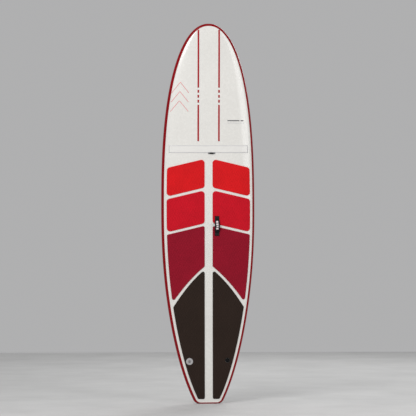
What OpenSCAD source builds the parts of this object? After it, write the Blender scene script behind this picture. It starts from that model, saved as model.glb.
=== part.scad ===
// Rigid stand up paddleboard with deck pads, carry handle, vent, leash plug and fins.
// Frame: origin in the middle of the flat tail end. +Z runs to the nose, the deck faces -Y
// and the bottom faces +Y. All sizes are in millimetres.

/* [Board] */
// overall length from tail end to nose tip
board_length = 3200; // [2700:10:3900]
// half of the greatest width
half_width = 395.5; // [340:0.5:440]
// distance of the widest point from the tail end
widest_point = 1620; // [1300:10:2000]
// thickness at the widest point
mid_thickness = 115; // [90:1:150]
// thickness at the tail end
tail_thickness = 52; // [40:1:80]
// thickness at the nose tip before it is rounded off
nose_thickness = 48; // [35:1:80]
// lift of the nose towards the deck side
nose_rocker = 120; // [60:5:300]
// lift of the tail towards the deck side
tail_rocker = 42; // [10:2:120]
// corner radius of the squash tail in plan
tail_corner = 30; // [15:1:60]
// edge rounding of the tail end in side view
tail_edge = 5; // [3:1:20]

/* [Skin] */
// thickness of the sandwich laminate
skin = 3; // [1.5:0.1:6]
// visible width of the red rail band
band = 20.6; // [10:0.2:60]
// length of the solid tail block
tail_block_length = 11; // [8:1:40]
// length of the solid nose block
nose_block_length = 20; // [12:1:60]
// half thickness of the wooden stringer
stringer_half = 2; // [1.5:0.5:6]

/* [Deck pads] */
// thickness of the EVA foam
pad_thickness = 5; // [3:0.5:8]
// glue line under each pad
glue_line = 0.2; // [0.1:0.05:0.5]
// bare strip on each side of the centre line
pad_inner = 34; // [10:1:80]
// distance from the rail to the outer edge of a pad
pad_margin = 42; // [25:1:90]
// corner radius of the two upper pads on each side
upper_corner = 28; // [4:1:40]
// corner radius of the third pad on each side
third_corner = 14; // [4:1:40]
// corner radius of the tail pads
tail_pad_corner = 14; // [4:1:40]
// slope of the two upper seams
seam_slope = 0.236; // [0:0.01:0.6]
// slope of the lower curved seam at its inner end
seam_fall = 0.8; // [0.5:0.01:1.5]
// growth of that slope along the third pad
third_bend = 0.00117; // [0:0.00001:0.003]
// growth of that slope along the tail pad
tail_bend = 0.00147; // [0:0.00001:0.003]

/* [Carry handle] */
// distance of the handle from the centre line
handle_x = 71; // [40:1:120]
// height of the handle's middle above the tail end
handle_z = 1499; // [1300:1:1700]
// overall length of the strap
handle_length = 166; // [140:1:220]
// width of the strap
handle_width = 37; // [25:1:50]
// clear finger height under the strap
handle_gap = 20; // [12:1:40]
// thickness of the webbing
web = 3; // [2:0.5:5]

/* [Tie-down loop] */
// distance of the loop from the centre line
loop_x = 26; // [0:1:60]
// height of the loop above the tail end
loop_z = 2111; // [1900:1:2400]
// overall length of the loop
loop_length = 59; // [40:1:90]
// width of the loop webbing
loop_width = 12; // [8:1:25]

/* [Vent] */
// distance of the vent from the centre line, to the left
vent_x = 163; // [100:1:200]
// height of the vent above the tail end
vent_z = 357; // [250:1:500]
// radius of the vent flange
vent_radius = 29; // [20:0.5:35]
// lift of the screw for one turn
vent_pitch = 1.75; // [1:0.25:2.5]

/* [Leash plug] */
// distance of the leash plug from the centre line, to the right
leash_x = 159; // [100:1:200]
// height of the leash plug above the tail end
leash_z = 366; // [250:1:500]
// radius of the flange
leash_radius = 20; // [15:0.5:28]

/* [Fins] */
// height of the middle of the centre fin box above the tail end
fin_z = 317; // [250:1:450]
// length of the centre fin box
fin_box_length = 258; // [200:1:300]
// depth of the centre fin below the bottom
fin_depth = 228; // [150:1:260]
// distance of the side fins from the centre line
side_x = 112; // [90:1:150]
// height of the side fins above the tail end
side_z = 385; // [300:1:500]
// depth of the side fins below the bottom
side_depth = 112; // [80:1:130]
// tilt of the side fins away from upright
side_cant = 5; // [0:1:10]

/* [Hidden] */
$fn = 48;

// colours
crimson = [0.51, 0.02, 0.05];
pad_red = [0.80, 0.12, 0.14];
pad_rose = [0.74, 0.11, 0.16];
pad_wine = [0.53, 0.10, 0.16];
pad_brown = [0.19, 0.15, 0.13];
white = [0.87, 0.86, 0.84];
foam_white = [0.95, 0.95, 0.92];
wood = [0.72, 0.55, 0.34];
black = [0.05, 0.05, 0.05];
grey = [0.58, 0.57, 0.57];
steel = [0.72, 0.72, 0.74];
black_steel = [0.08, 0.08, 0.08];

// ---- shape of the board ----
// fraction of the way from the widest point to the tail end or to the nose
function tail_part(z) = (widest_point - z) / widest_point;
function nose_part(z) = (z - widest_point) / (board_length + 0.5 - widest_point);
// how far a corner of radius r draws the edge in at height z
function edge_cut(z, r) = z < r ? r - sqrt(r * r - (r - z) * (r - z)) : 0;
function tail_width(s) = half_width * (1 - 0.64 * pow(s, 2.2) - 0.075 * pow(s, 10));
function nose_width(t, w) = w * pow(1 - pow(t, 2.6), 1 / 2.13);
// half width of the outline at height z
function half_plan(z) = z > widest_point
    ? nose_width(nose_part(z), half_width)
    : tail_width(tail_part(z)) - edge_cut(z, tail_corner);
// half width of the white deck inside the rail band
band_top = board_length - 17;
function half_deck(z) = z > board_length - nose_block_length
    ? 0.388 * half_plan(z)
    : z > widest_point
    ? nose_width((z - widest_point) / (band_top - widest_point), half_width - band)
    : half_plan(z) - band;
function thickness(z) = z > widest_point
    ? nose_thickness + (mid_thickness - nose_thickness) * (1 - pow(nose_part(z), 4))
    : tail_thickness + (mid_thickness - tail_thickness) * (1 - pow(tail_part(z), 1.5));
function rocker(z) = z > widest_point
    ? nose_rocker * pow(nose_part(z), 2.4)
    : tail_rocker * pow(tail_part(z), 2.2);
// the nose is rounded off in side view over its last 35 mm
round_from = board_length - 35;
function nose_round(z) = z > round_from ? sqrt(1 - pow((z - round_from) / 37, 2)) : 1;
// Y of the keel line, and of the rail line that the section is built about
keel_mid = tail_rocker + 0.45 * tail_thickness;
function keel_y(z) = keel_mid - rocker(z);
function rail_y(z) = keel_y(z) - 0.45 * thickness(z);
function deck_rise(z) = 0.55 * thickness(z) * nose_round(z) - edge_cut(z, tail_edge);
function keel_drop(z) = 0.45 * thickness(z) * nose_round(z) - edge_cut(z, tail_edge);
function dome(u, n) = sqrt(max(0, 1 - pow(min(1, abs(u)), n)));
function deck_y(x, z) = rail_y(z) - deck_rise(z) * dome(x / half_plan(z), 6);
function bottom_y(x, z) = rail_y(z) + keel_drop(z) * dome(x / half_plan(z), 8);

// ---- section ring: 38 points, round from the left rail over the deck ----
deck_steps = [0, 0.3, 0.55, 0.75, 0.88, 1];
rail_steps = [1, 0.6, 0.27, 0.07, 0];
// X of column k, from 0 at the stringer to 9 at the rail, for a section drawn in by s
function column_x(k, z, s) = k < 6
    ? stringer_half + (half_deck(z) - stringer_half) * deck_steps[k]
    : half_plan(z) - s - (half_plan(z) - s - half_deck(z)) * rail_steps[k - 5];
function deck_point(side, k, z, s) =
    let (x = column_x(k, z, s), w = half_plan(z) - s)
    [side * x, rail_y(z) - (deck_rise(z) - s) * (k == 9 ? 0 : dome(x / w, 6)), z];
function keel_point(side, k, z, s) =
    let (x = column_x(k, z, s), w = half_plan(z) - s)
    [side * x, rail_y(z) + (keel_drop(z) - s) * dome(x / w, 8), z];
function ring_point(i, z, s) = i >= 38
    ? ring_point(i - 38, z, s)
    : i < 10 ? deck_point(-1, 9 - i, z, s)
    : i < 20 ? deck_point(1, i - 10, z, s)
    : i < 29 ? keel_point(1, 28 - i, z, s)
    : keel_point(-1, i - 29, z, s);
function ring(picks, z, s) = [for (i = picks) ring_point(i, z, s)];

// heights of the section rings along the board
body_low = tail_block_length;
body_top = board_length - nose_block_length;
bands = 26;
stations = concat(
    [for (k = [0:3]) body_low + (tail_corner - body_low) * k / 4],
    [for (k = [0:bands]) tail_corner + (body_top - tail_corner) * (0.5 - 0.5 * cos(180 * k / bands))]
);
last = len(stations) - 1;
nose_stations = [for (a = [0:15:75]) body_top + (board_length - body_top) * sin(a) / sin(75)];
tail_stations = [for (a = [0:4]) body_low * (1 - cos(90 * a / 4))];
function span(a, b) = [for (i = [a:b]) i];
function slice(a, b) = [for (j = [a:b]) stations[j]];
function low_index(z) = max([for (j = [0:last]) stations[j] < z ? j : 0]);
function high_index(z) = min([for (j = [0:last]) stations[j] > z ? j : last]);

// ---- solids from rings ----
function flat(lists) = [for (l = lists) each l];
// closed solid through a stack of closed rings, all with the same number of points
module ring_solid(rings) {
    n = len(rings[0]);
    top = len(rings) - 1;
    sides = flat([for (j = [0:top - 1], i = [0:n - 1]) [
        [j * n + i, (j + 1) * n + i, (j + 1) * n + (i + 1) % n],
        [j * n + i, (j + 1) * n + (i + 1) % n, j * n + (i + 1) % n]
    ]]);
    low_a = [for (k = [0:ceil(n / 2) - 2]) [k, k + 1, n - 1 - k]];
    low_b = [for (k = [0:floor(n / 2) - 2]) [k + 1, n - 2 - k, n - 1 - k]];
    high = [for (f = concat(low_a, low_b)) [f[0] + top * n, f[2] + top * n, f[1] + top * n]];
    polyhedron(points = flat(rings), faces = concat(sides, low_a, low_b, high), convexity = 8);
}
// closed solid between an outer and an inner grid of points
module sheet_solid(outer, inner) {
    n = len(outer[0]);
    top = len(outer) - 1;
    q = n * (top + 1);
    out_faces = flat([for (j = [0:top - 1], i = [0:n - 2]) [
        [j * n + i, (j + 1) * n + i, (j + 1) * n + i + 1],
        [j * n + i, (j + 1) * n + i + 1, j * n + i + 1]
    ]]);
    in_faces = [for (f = out_faces) [q + f[0], q + f[2], q + f[1]]];
    left = flat([for (j = [0:top - 1]) let (a = j * n, b = (j + 1) * n) [
        [a, q + a, q + b],
        [a, q + b, b]
    ]]);
    right = flat([for (j = [0:top - 1]) let (a = j * n + n - 1, b = (j + 1) * n + n - 1) [
        [a, q + b, q + a],
        [a, b, q + b]
    ]]);
    low = flat([for (i = [0:n - 2]) [
        [i, i + 1, q + i + 1],
        [i, q + i + 1, q + i]
    ]]);
    high = flat([for (i = [0:n - 2]) let (a = top * n + i) [
        [a + 1, a, q + a],
        [a + 1, q + a, q + a + 1]
    ]]);
    polyhedron(
        points = concat(flat(outer), flat(inner)),
        faces = concat(out_faces, in_faces, left, right, low, high),
        convexity = 8
    );
}
module skin_zone(picks) {
    sheet_solid(
        [for (z = stations) ring(picks, z, 0)],
        [for (z = stations) ring(picks, z, skin)]
    );
}
// copy of part of the deck surface, standing off it from a to b
module deck_slab(picks, z0, z1, a, b) {
    zs = slice(low_index(z0), high_index(z1));
    sheet_solid(
        [for (z = zs) [for (p = ring(picks, z, 0)) p - [0, b, 0]]],
        [for (z = zs) [for (p = ring(picks, z, 0)) p - [0, a, 0]]]
    );
}

// ---- local frames: local Z points straight out of the deck or the bottom ----
module on_deck(x, z) {
    translate([x, deck_y(x, z), z]) rotate([90, 0, 0]) children();
}
// local Y points to the tail
fin_tilt = atan((bottom_y(0, fin_z + 60) - bottom_y(0, fin_z - 60)) / 120);
side_tilt = atan((bottom_y(0, side_z + 45) - bottom_y(0, side_z - 45)) / 90);
module on_keel() {
    translate([0, bottom_y(0, fin_z), fin_z]) rotate([-90 - fin_tilt, 0, 0]) children();
}
module on_side(side) {
    translate([side * side_x, bottom_y(side_x, side_z), side_z])
        rotate([-90 - side_tilt, 0, 0])
        rotate([0, side * side_cant, 0])
        children();
}
module tube(r, z0, z1) {
    translate([0, 0, z0]) cylinder(r = r, h = z1 - z0);
}
module block(x, y, z0, z1) {
    translate([-x / 2, -y / 2, z0]) cube([x, y, z1 - z0]);
}

// ---- pockets cut into the skins and the core ----
vent_cup = 17;
leash_cup_radius = 18;
insert_radius = 12;
loop_insert_radius = 5;
handle_reach = handle_length / 2 - 13;
loop_reach = loop_length / 2 - 7;
module vent_pocket() {
    on_deck(-vent_x, vent_z) {
        tube(vent_radius + 0.3, -6, 20);
        tube(vent_cup + 0.3, -24, 20);
    }
}
module leash_pocket() {
    on_deck(leash_x, leash_z) {
        tube(leash_radius + 0.3, -6, 20);
        tube(leash_cup_radius + 0.3, -19, 20);
    }
}
module handle_pockets() {
    on_deck(handle_x, handle_z) {
        for (s = [-1, 1]) {
            translate([0, s * handle_reach, 0]) tube(insert_radius + 0.1, -32, -1);
        }
    }
}
module handle_holes(r) {
    on_deck(handle_x, handle_z) {
        for (s = [-1, 1]) {
            translate([0, s * handle_reach, 0]) tube(r, -20, 20);
        }
    }
}
module loop_pockets() {
    on_deck(loop_x, loop_z) {
        for (s = [-1, 1]) {
            translate([s * loop_reach, 0, 0]) tube(loop_insert_radius + 0.1, -18, 10);
        }
    }
}
fin_box_width = 26;
fin_box_depth = 30;
module fin_pocket() {
    on_keel() block(fin_box_width + 0.2, fin_box_length + 0.2, -fin_box_depth - 0.2, 20);
}
side_box_width = 26;
side_box_length = 98;
side_box_depth = 19;
module side_pocket(side) {
    on_side(side) block(side_box_width + 0.2, side_box_length + 0.2, -side_box_depth - 0.2, 12);
}
block_width = 66;
block_length = 300;
block_depth = 37;
module block_pocket() {
    on_keel() block(block_width, block_length, -block_depth, 20);
}

// ---- core ----
module core_half(picks) {
    ring_solid([for (z = stations) ring(picks, z, skin)]);
}
module foam_core_left() {
    color(foam_white) difference() {
        core_half(span(29, 47));
        block_pocket();
        vent_pocket();
        side_pocket(-1);
        loop_pockets();
    }
}
module foam_core_right() {
    color(foam_white) difference() {
        core_half(span(10, 28));
        block_pocket();
        leash_pocket();
        handle_pockets();
        side_pocket(1);
        loop_pockets();
    }
}
module stringer() {
    color(wood) difference() {
        ring_solid([for (z = stations) ring([9, 10, 28, 29], z, skin)]);
        block_pocket();
        loop_pockets();
    }
}
// denser foam that carries the fin box between the two halves of the core
module fin_block() {
    color(wood) difference() {
        intersection() {
            ring_solid([for (z = slice(0, high_index(fin_z + 200))) ring(span(0, 37), z, skin)]);
            on_keel() block(block_width - 0.1, block_length - 0.1, 0.05 - block_depth, 20);
        }
        fin_pocket();
    }
}

// ---- laminate ----
module deck_skin() {
    color(white) difference() {
        skin_zone(span(4, 15));
        vent_pocket();
        leash_pocket();
        handle_holes(2.8);
        loop_pockets();
    }
}
module bottom_skin() {
    color(white) difference() {
        skin_zone(span(23, 34));
        fin_pocket();
        side_pocket(-1);
        side_pocket(1);
    }
}
module rail_left() {
    color(crimson) skin_zone(span(34, 42));
}
module rail_right() {
    color(crimson) skin_zone(span(15, 23));
}
module nose_block() {
    color(crimson) ring_solid([for (z = nose_stations) ring(span(0, 37), z, 0)]);
}
module tail_block() {
    color(crimson) ring_solid([for (z = tail_stations) ring(span(0, 37), z, 0)]);
}

// ---- deck pads ----
// height at which a seam line that starts at the inner edge meets the outer edge
function edge_z(z0, slope, z) = z0 - slope * (half_plan(z) - pad_margin - pad_inner);
function seam_end(z0, slope) = edge_z(z0, slope, edge_z(z0, slope, edge_z(z0, slope, z0 - 70)));
function outer_edge(z0, z1) = [
    for (k = [0:10])
        let (z = z0 + (z1 - z0) * k / 10)
        [half_plan(z) - pad_margin, z]
];
module pad(side, tint, z_low, z_high, corner, shape) {
    picks = side > 0 ? span(10, 16) : span(3, 9);
    color(tint) intersection() {
        deck_slab(picks, z_low, z_high, glue_line, glue_line + pad_thickness);
        rotate([90, 0, 0]) linear_extrude(height = 400, center = true)
            scale([side, 1])
            offset(r = corner) offset(delta = -corner)
            polygon(shape);
    }
}
pad_1_top = 2063;
pad_1_low = 1822;
pad_2_top = 1799;
pad_2_low = 1521.5;
pad_3_top = 1500.5;
pad_3_low = 1157.5;
pad_4_top = 1130;
pad_4_low = 40;
shape_1 = concat(
    [[pad_inner, pad_1_low]],
    outer_edge(seam_end(pad_1_low, seam_slope), seam_end(pad_1_top, seam_slope)),
    [[pad_inner, pad_1_top]]
);
shape_2 = concat(
    [[pad_inner, pad_2_low]],
    outer_edge(seam_end(pad_2_low, seam_slope), seam_end(pad_2_top, seam_slope)),
    [[pad_inner, pad_2_top]]
);
// the lower seam falls ever more steeply with the distance t from the inner edge
function seam_z(z0, bend, t) = z0 - seam_fall * t - bend * t * t;
// distance from the inner edge at which that seam meets the outer edge
function seam_reach(z0, bend, t = 260, n = 12) = n == 0
    ? t
    : seam_reach(z0, bend, half_plan(seam_z(z0, bend, t)) - pad_margin - pad_inner, n - 1);
function seam_point(z0, bend, u) =
    let (t = u * seam_reach(z0, bend))
    [pad_inner + t, seam_z(z0, bend, t)];
third_end = seam_point(pad_3_low, third_bend, 1)[1];
shape_3 = concat(
    [for (k = [0:7]) seam_point(pad_3_low, third_bend, k / 8)],
    outer_edge(third_end, seam_end(pad_3_top, seam_slope)),
    [[pad_inner, pad_3_top]]
);
shoulder = seam_point(pad_4_top, tail_bend, 1)[1];
shape_4 = concat(
    [[pad_inner, pad_4_low]],
    outer_edge(pad_4_low, shoulder),
    [for (k = [7:-1:0]) seam_point(pad_4_top, tail_bend, k / 8)]
);
module pad_1_left() {
    pad(-1, pad_red, 1700, 2100, upper_corner, shape_1);
}
module pad_1_right() {
    pad(1, pad_red, 1700, 2100, upper_corner, shape_1);
}
module pad_2_left() {
    pad(-1, pad_rose, 1400, 1830, upper_corner, shape_2);
}
module pad_2_right() {
    difference() {
        pad(1, pad_rose, 1400, 1830, upper_corner, shape_2);
        handle_holes(2.8);
    }
}
module pad_3_left() {
    pad(-1, pad_wine, 820, 1530, third_corner, shape_3);
}
module pad_3_right() {
    difference() {
        pad(1, pad_wine, 820, 1530, third_corner, shape_3);
        handle_holes(2.8);
    }
}
module pad_4_left() {
    difference() {
        pad(-1, pad_brown, 20, 1160, tail_pad_corner, shape_4);
        on_deck(-vent_x, vent_z) tube(vent_radius + 1, -5, 20);
    }
}
module pad_4_right() {
    difference() {
        pad(1, pad_brown, 20, 1160, tail_pad_corner, shape_4);
        on_deck(leash_x, leash_z) tube(leash_radius + 1, -5, 20);
    }
}
// thin laminate strip across the deck in front of the pads
module deck_patch() {
    color(white) difference() {
        intersection() {
            deck_slab(span(4, 15), 2090, 2200, 0.1, 0.9);
            translate([-336, -200, 2113]) cube([672, 300, 66]);
        }
        loop_pockets();
    }
}

// ---- carry handle ----
pad_top = glue_line + pad_thickness;
arch_half = handle_reach - 12;
// height of the arch above the pads, from 0 at the feet to 1 in the middle
function arch(y) = abs(y) >= arch_half ? 0 : 0.5 + 0.5 * cos(180 * y / arch_half);
function strap_line(y) = pad_top + 0.8 + handle_gap * pow(arch(y), 0.6);
// solid strip across X that follows the arch between y0 and y1, from a to b above it
module arch_strip(width, y0, y1, a, b) {
    steps = 24;
    ys = [for (k = [0:steps]) y0 + (y1 - y0) * k / steps];
    outline = concat(
        [for (y = ys) [y, strap_line(y) + b]],
        [for (k = [steps:-1:0]) [ys[k], strap_line(ys[k]) + a]]
    );
    rotate([90, 0, 90]) linear_extrude(height = width, center = true) polygon(outline);
}
sleeve_half = 46;
module handle_strap() {
    color(black) difference() {
        on_deck(handle_x, handle_z)
            arch_strip(handle_width, -handle_length / 2, handle_length / 2, 0, web);
        handle_holes(3);
    }
}
module handle_sleeve() {
    color(black) on_deck(handle_x, handle_z) difference() {
        arch_strip(handle_width + 5, -sleeve_half, sleeve_half, -2.2, web + 2.2);
        arch_strip(handle_width + 0.4, -sleeve_half - 1, sleeve_half + 1, -0.2, web + 0.2);
    }
}
foot_top = pad_top + 0.8 + web;
module handle_plates() {
    color(black) difference() {
        on_deck(handle_x, handle_z) for (s = [-1, 1]) {
            translate([0, s * handle_reach, 0]) block(34, 17, foot_top + 0.15, foot_top + 2);
        }
        handle_holes(2.9);
    }
}
module handle_screws() {
    color(black_steel) on_deck(handle_x, handle_z) for (s = [-1, 1]) {
        translate([0, s * handle_reach, 0]) difference() {
            union() {
                tube(2.5, -16, foot_top + 2.2);
                tube(5, foot_top + 2.1, foot_top + 4.6);
            }
            rotate([0, 0, 20]) block(1.2, 6, foot_top + 3.2, foot_top + 6);
            rotate([0, 0, 110]) block(1.2, 6, foot_top + 3.2, foot_top + 6);
        }
    }
}
module handle_inserts() {
    color(wood) on_deck(handle_x, handle_z) for (s = [-1, 1]) {
        translate([0, s * handle_reach, 0]) difference() {
            tube(insert_radius, -31.8, -5);
            tube(2.55, -20, 0);
        }
    }
}

// ---- tie-down loop ----
loop_flat = loop_reach - 7;
loop_foot = 1.9;
function loop_rise(x) = 6.5 * pow(cos(90 * x / loop_flat), 0.6);
function loop_line(x) = loop_foot + (abs(x) >= loop_flat ? 0 : loop_rise(x));
module loop_strap() {
    steps = 20;
    xs = [for (k = [0:steps]) loop_length * (k / steps - 0.5)];
    outline = concat(
        [for (x = xs) [x, loop_line(x) + 2]],
        [for (k = [steps:-1:0]) [xs[k], loop_line(xs[k])]]
    );
    color(black) on_deck(loop_x, loop_z) difference() {
        rotate([90, 0, 0]) linear_extrude(height = loop_width, center = true) polygon(outline);
        for (s = [-1, 1]) {
            translate([s * loop_reach, 0, 0]) tube(2.2, -1, 7);
        }
    }
}
module loop_screws() {
    color(steel) on_deck(loop_x, loop_z) for (s = [-1, 1]) {
        translate([s * loop_reach, 0, 0]) difference() {
            union() {
                tube(2, -13, loop_foot + 2.1);
                tube(4, loop_foot + 2.05, loop_foot + 4);
            }
            rotate([0, 0, 35]) block(1, 5, loop_foot + 3, loop_foot + 6);
            rotate([0, 0, 125]) block(1, 5, loop_foot + 3, loop_foot + 6);
        }
    }
}
module loop_inserts() {
    color(grey) on_deck(loop_x, loop_z) for (s = [-1, 1]) {
        translate([s * loop_reach, 0, 0]) difference() {
            tube(loop_insert_radius, -17.8, 1);
            tube(2.05, -14, 2);
        }
    }
}

// ---- vent ----
vent_top = 6;
vent_seat = 1.2;
module vent_body() {
    color(grey) on_deck(-vent_x, vent_z) rotate_extrude($fn = 96) polygon([
        [5.3, -14],
        [5.3, vent_seat],
        [12.3, vent_seat],
        [12.3, vent_top - 0.8],
        [14, vent_top],
        [18.4, vent_top],
        [18.4, vent_top - 1],
        [20, vent_top - 1],
        [20, vent_top],
        [vent_radius - 2, vent_top],
        [vent_radius, vent_top - 2],
        [vent_radius, -5.8],
        [vent_cup, -5.8],
        [vent_cup, -23.8],
        [3, -23.8],
        [3, -20],
        [9, -20],
        [9, -14]
    ]);
}
module vent_screw() {
    color(grey) on_deck(-vent_x, vent_z) difference() {
        union() {
            rotate_extrude($fn = 96) polygon([
                [0, -13.5],
                [4.4, -13.5],
                [5, -12.9],
                [5, vent_seat + 0.1],
                [6.2, vent_seat + 0.1],
                [6.2, vent_seat + 2.2],
                [11.6, vent_seat + 2.2],
                [11.6, vent_top - 1.4],
                [10.6, vent_top - 0.4],
                [0, vent_top - 0.4]
            ]);
        }
        block(2.6, 18, vent_top - 2, vent_top + 2);
    }
}
module vent_o_ring() {
    color(black) on_deck(-vent_x, vent_z) rotate_extrude($fn = 96)
        translate([8, vent_seat + 1.1]) circle(r = 1.05, $fn = 24);
}
module vent_membrane() {
    color(white) on_deck(-vent_x, vent_z) tube(7, -19.98, -19.3);
}

// ---- leash plug ----
leash_top = 5.6;
bar_y = -1.5;
module leash_cup() {
    color(black) on_deck(leash_x, leash_z) difference() {
        rotate_extrude($fn = 96) polygon([
            [0, -18.8],
            [leash_cup_radius, -18.8],
            [leash_cup_radius, -5.8],
            [leash_radius, -5.8],
            [leash_radius, leash_top - 1.5],
            [leash_radius - 1.5, leash_top],
            [16.5, leash_top],
            [15, leash_top - 1.5],
            [15, -12],
            [12, -15.5],
            [0, -15.5]
        ]);
        translate([-17, 0, bar_y]) rotate([0, 90, 0]) cylinder(r = 2.55, h = 34);
    }
}
module leash_bar() {
    color(black_steel) on_deck(leash_x, leash_z)
        translate([-16.9, 0, bar_y]) rotate([0, 90, 0]) cylinder(r = 2.5, h = 33.8);
}

// ---- centre fin ----
slot_half = 5;
channel_half = 9;
slot_length = 240;
module fin_box() {
    color(black) on_keel() difference() {
        block(fin_box_width, fin_box_length, -fin_box_depth, 0.2);
        block(2 * slot_half, slot_length, -24, 5);
        block(2 * channel_half, slot_length, -14, -7);
        translate([0, -104, 0]) block(2 * channel_half, 14, -14, 5);
    }
}
tab_half = 4.7;
tab_depth = 19;
fin_root = 1.5;
// thick rounded section of a fin: chord along Y from y0 to y1, thickness t, at height z
foil_steps = 9;
function foil_x(c, t) = t * (1.48 * sqrt(c) - 0.63 * c - 1.758 * c * c + 1.4215 * c * c * c
    - 0.5075 * c * c * c * c + 0.03 * c);
function foil_ring(y0, y1, t, z) = concat(
    [for (k = [0:foil_steps]) let (c = 0.5 - 0.5 * cos(180 * k / foil_steps))
        [foil_x(c, t), y0 + (y1 - y0) * c, z]],
    [for (k = [foil_steps - 1:-1:1]) let (c = 0.5 - 0.5 * cos(180 * k / foil_steps))
        [-foil_x(c, t), y0 + (y1 - y0) * c, z]]
);
// leading and trailing edges of the centre fin against the fraction of its depth
function lead(h) = -85 + 60 * h + 92 * pow(h, 3);
function trail(h) = 70 - 58 * sin(150 * h) + 54 * h * h;
module fin_foil(depth, root, chord_scale, root_shift, thick) {
    ring_solid([for (k = [0:10])
        let (
            h = 1 - pow(1 - k / 10, 1.35),
            y0 = root_shift + chord_scale * lead(h),
            y1 = root_shift + chord_scale * max(trail(h), lead(h) + 14)
        )
        foil_ring(y0, y1, thick * (1 - 0.62 * h), root + depth * h)
    ]);
}
plate_y = -91;
pin_y = 66;
pin_z = -10.5;
module centre_fin() {
    color(black) on_keel() difference() {
        union() {
            fin_foil(fin_depth - fin_root, fin_root, 1, 0, 9);
            translate([-tab_half, -83, -tab_depth]) cube([2 * tab_half, 158, tab_depth + fin_root + 1]);
            translate([-tab_half, plate_y - 8, -6.4]) cube([2 * tab_half, 17, 4]);
        }
        translate([0, plate_y, 0]) tube(2.4, -10, 2);
        translate([-8, pin_y, pin_z]) rotate([0, 90, 0]) cylinder(r = 2.55, h = 16);
    }
}
module fin_cross_pin() {
    color(steel) on_keel()
        translate([-8.6, pin_y, pin_z]) rotate([0, 90, 0]) cylinder(r = 2.5, h = 17.2);
}
module fin_plate() {
    color(steel) on_keel() translate([0, plate_y, 0]) difference() {
        block(17.2, 12, -13.2, -9.8);
        tube(2.3, -20, 0);
    }
}
module fin_screw() {
    color(steel) on_keel() translate([0, plate_y, 0]) difference() {
        union() {
            tube(2, -18, -2);
            tube(4, -2.1, 0.3);
        }
        rotate([0, 0, 25]) block(1, 5, -0.8, 2);
        rotate([0, 0, 115]) block(1, 5, -0.8, 2);
    }
}

// ---- side fins ----
side_tab_half = 4;
side_tab_length = 80;
side_root = 1.8;
grub_x = 9;
grub_y = 24;
module side_box(side) {
    color(black) on_side(side) difference() {
        block(side_box_width, side_box_length, -side_box_depth, 0.4);
        block(2 * side_tab_half + 0.6, side_tab_length + 0.8, -15.3, 5);
        for (s = [-1, 1]) {
            translate([side * grub_x, s * grub_y, 0]) tube(2.05, -12, 3);
        }
    }
}
module side_box_left() {
    side_box(-1);
}
module side_box_right() {
    side_box(1);
}
module side_fin(side) {
    color(black) on_side(side) union() {
        fin_foil(side_depth - side_root, side_root, 0.56, 2, 7.6);
        block(2 * side_tab_half, side_tab_length, -15, side_root + 0.6);
    }
}
module side_fin_left() {
    side_fin(-1);
}
module side_fin_right() {
    side_fin(1);
}
module grub_screws(side) {
    color(steel) on_side(side) for (s = [-1, 1]) {
        translate([side * grub_x, s * grub_y, 0]) difference() {
            tube(2, -10, 0);
            translate([0, 0, -2.5]) cylinder(r = 1.1, h = 4, $fn = 6);
        }
    }
}
module grub_screws_left() {
    grub_screws(-1);
}
module grub_screws_right() {
    grub_screws(1);
}

foam_core_left();
foam_core_right();
stringer();
fin_block();
deck_skin();
bottom_skin();
rail_left();
rail_right();
nose_block();
tail_block();
pad_1_left();
pad_1_right();
pad_2_left();
pad_2_right();
pad_3_left();
pad_3_right();
pad_4_left();
pad_4_right();
deck_patch();
handle_strap();
handle_sleeve();
handle_plates();
handle_screws();
handle_inserts();
loop_strap();
loop_screws();
loop_inserts();
vent_body();
vent_screw();
vent_o_ring();
vent_membrane();
leash_cup();
leash_bar();
fin_box();
centre_fin();
fin_cross_pin();
fin_plate();
fin_screw();
side_box_left();
side_box_right();
side_fin_left();
side_fin_right();
grub_screws_left();
grub_screws_right();
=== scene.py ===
import math

import bmesh
import bpy
import numpy as np
from mathutils import Matrix, Vector
from mathutils.geometry import delaunay_2d_cdt


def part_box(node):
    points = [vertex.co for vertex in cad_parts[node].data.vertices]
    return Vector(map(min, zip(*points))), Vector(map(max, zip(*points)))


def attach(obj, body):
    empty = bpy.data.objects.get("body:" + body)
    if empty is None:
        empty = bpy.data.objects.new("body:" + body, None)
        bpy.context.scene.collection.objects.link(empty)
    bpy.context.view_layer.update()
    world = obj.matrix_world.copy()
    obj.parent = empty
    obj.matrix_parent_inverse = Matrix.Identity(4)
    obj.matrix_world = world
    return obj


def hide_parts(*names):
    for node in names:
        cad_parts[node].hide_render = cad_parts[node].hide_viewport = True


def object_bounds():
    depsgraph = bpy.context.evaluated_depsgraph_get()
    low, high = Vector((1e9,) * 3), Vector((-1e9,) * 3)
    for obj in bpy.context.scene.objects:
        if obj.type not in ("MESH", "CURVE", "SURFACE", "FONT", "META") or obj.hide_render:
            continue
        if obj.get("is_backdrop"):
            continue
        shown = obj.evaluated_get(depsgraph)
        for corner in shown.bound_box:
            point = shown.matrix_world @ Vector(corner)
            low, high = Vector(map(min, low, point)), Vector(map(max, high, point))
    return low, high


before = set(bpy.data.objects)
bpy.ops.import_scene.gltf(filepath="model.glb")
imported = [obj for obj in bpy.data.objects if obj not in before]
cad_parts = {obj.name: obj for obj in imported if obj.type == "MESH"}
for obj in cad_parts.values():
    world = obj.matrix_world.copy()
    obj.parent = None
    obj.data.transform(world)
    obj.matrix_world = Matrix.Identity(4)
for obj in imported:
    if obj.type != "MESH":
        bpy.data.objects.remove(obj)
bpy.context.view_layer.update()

MM = 0.001

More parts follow.
